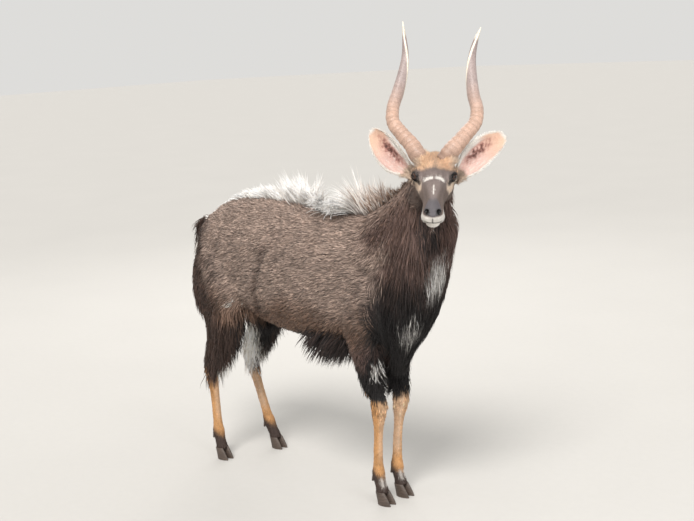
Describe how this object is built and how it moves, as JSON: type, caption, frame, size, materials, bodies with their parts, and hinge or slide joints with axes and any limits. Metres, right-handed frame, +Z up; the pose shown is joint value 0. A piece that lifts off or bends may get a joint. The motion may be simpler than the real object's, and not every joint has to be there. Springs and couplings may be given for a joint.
{
  "type": "nyala",
  "caption": "Male nyala standing with its head turned, with spiral horns, a dark neck mane, a white crest along the back and orange-tan lower legs.",
  "frame": {"origin": "middle of the model's box, on the floor that the hooves stand on", "axes": "+X forwards along the body, +Y to the animal's left, +Z up"},
  "size_m": [1.4744, 0.4826, 1.7053],
  "materials": {
    "grey_brown_coat": "shaggy grey-brown hair",
    "dark_mane": "long dark brown to black hair",
    "face_coat": "short tan and dark brown hair",
    "tan_leg_coat": "short orange-tan hair",
    "ear_skin": "thin pink skin with short pale hair",
    "horn": "ringed grey-brown horn, satin",
    "hoof": "dull dark horn",
    "eye": "glossy, near black"
  },
  "bodies": {
    "root": {"torso": "grey_brown_coat", "tail": "grey_brown_coat", "neck": "dark_mane", "head": "face_coat", "foreleg_left": "tan_leg_coat", "foreleg_right": "tan_leg_coat", "hindleg_left": "tan_leg_coat", "hindleg_right": "tan_leg_coat", "ear_left": "ear_skin", "ear_right": "ear_skin", "horn_left": "horn", "horn_right": "horn", "eye_left": "eye", "eye_right": "eye", "hoof_fore_left_outer": "hoof", "hoof_fore_left_inner": "hoof", "hoof_fore_right_outer": "hoof", "hoof_fore_right_inner": "hoof", "hoof_hind_left_outer": "hoof", "hoof_hind_left_inner": "hoof", "hoof_hind_right_outer": "hoof", "hoof_hind_right_inner": "hoof", "dewclaw_fore_left_outer": "hoof", "dewclaw_fore_left_inner": "hoof", "dewclaw_fore_right_outer": "hoof", "dewclaw_fore_right_inner": "hoof", "dewclaw_hind_left_outer": "hoof", "dewclaw_hind_left_inner": "hoof", "dewclaw_hind_right_outer": "hoof", "dewclaw_hind_right_inner": "hoof"}
  },
  "joints": []
}
